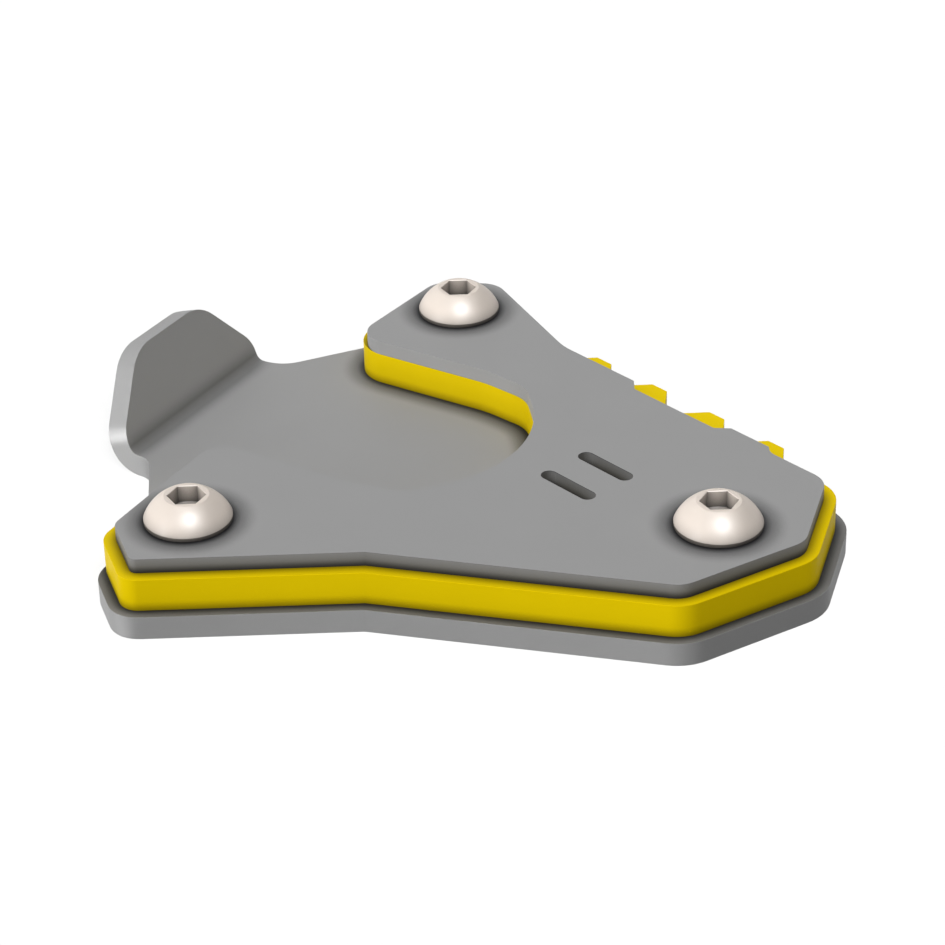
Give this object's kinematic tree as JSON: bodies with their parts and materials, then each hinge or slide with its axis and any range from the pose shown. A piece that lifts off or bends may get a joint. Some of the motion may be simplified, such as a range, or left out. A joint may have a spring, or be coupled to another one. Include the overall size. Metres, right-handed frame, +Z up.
{
  "type": "motorbike kickstand foot enlarger",
  "caption": "Three-layer foot plate that clamps round the foot of a motorbike's kickstand, so that the stand doesn't sink into soft ground.",
  "frame": {"origin": "under the middle of the part's box, on the face that meets the ground", "axes": "+X to the picture's right along the long front side, +Y away from the viewer, +Z up"},
  "size_m": [0.0898, 0.0814, 0.0136],
  "materials": {
    "base_plate": "fine blasted stainless steel, mid grey, satin",
    "spacer": "bright yellow powder coat on aluminium, satin",
    "top_plate": "fine blasted stainless steel, mid grey, satin",
    "screws": "smooth bright stainless steel, warm white"
  },
  "bodies": {
    "root": {"base_plate": "base_plate", "spacer": "spacer", "top_plate": "top_plate", "front_left_screw": "screws", "front_right_screw": "screws", "back_screw": "screws"}
  },
  "joints": []
}
